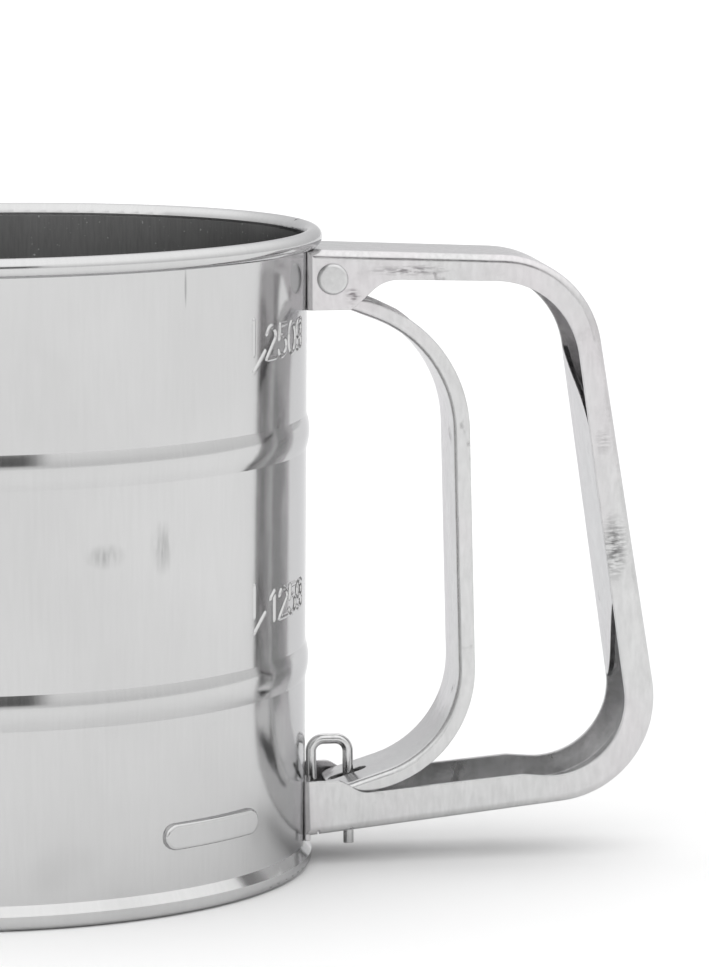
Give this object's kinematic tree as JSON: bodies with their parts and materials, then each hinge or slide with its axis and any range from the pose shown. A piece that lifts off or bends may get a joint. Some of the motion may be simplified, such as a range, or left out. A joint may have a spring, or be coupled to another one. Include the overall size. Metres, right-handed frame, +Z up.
{
  "type": "flour sifter",
  "caption": "Hand-held flour sifter: a round steel cup with a screen at its base, and a squeeze trigger whose rod swings an agitator over the screen.",
  "frame": {"origin": "on the cup's axis, in the plane that the base hem stands on, at the mouth of the outlet", "axes": "+Z up the cup's axis, +X from the axis towards the handle, +Y completes the right-handed frame"},
  "size_m": [0.1533, 0.1044, 0.0957],
  "materials": {
    "cup_steel": "polished stainless sheet",
    "handle_steel": "tumbled satin stainless sheet",
    "inner_steel": "plain rolled stainless sheet",
    "wire_steel": "bright drawn stainless wire",
    "mesh_wire": "fine woven stainless wire",
    "rivet_steel": "matte pressed rivet"
  },
  "bodies": {
    "cup": {"cup_shell": "cup_steel", "screen_mesh": "mesh_wire", "screen_frame": "inner_steel", "screen_retainer": "wire_steel", "outer_handle": "handle_steel", "pivot_rivet": "rivet_steel", "pivot_sleeve": "inner_steel", "pivot_washer_left": "rivet_steel", "pivot_washer_right": "rivet_steel", "torsion_spring": "wire_steel", "bridge": "inner_steel", "pin_washer": "rivet_steel", "agitator_pin": "rivet_steel", "retaining_washer": "rivet_steel"},
    "trigger": {"trigger": "handle_steel"},
    "pull_rod": {"pull_rod": "wire_steel"},
    "agitator": {"agitator": "inner_steel", "agitator_hub": "inner_steel"}
  },
  "joints": [
    {"name": "trigger_pivot", "type": "hinge", "parent": "cup", "child": "trigger", "pos_m": [0.053, 0, 0.0881], "axis": [0, -1, 0], "range_deg": [0, 15], "stiffness_Nm_per_rad": 0.8, "springref_deg": -11.46, "deforming": ["torsion_spring"]},
    {"name": "rod_slide", "type": "slide", "parent": "cup", "child": "pull_rod", "axis": [1, 0, 0], "range_m": [0, 0.0197]},
    {"name": "agitator_spin", "type": "hinge", "parent": "cup", "child": "agitator", "pos_m": [0, 0, 0.005], "axis": [0, 0, 1], "range_deg": [0, 66.5]}
  ],
  "couplings": [
    {"joint": "rod_slide", "follows": "trigger_pivot", "m_per_rad": 0.074485},
    {"joint": "agitator_spin", "follows": "trigger_pivot", "ratio": 4.4}
  ]
}
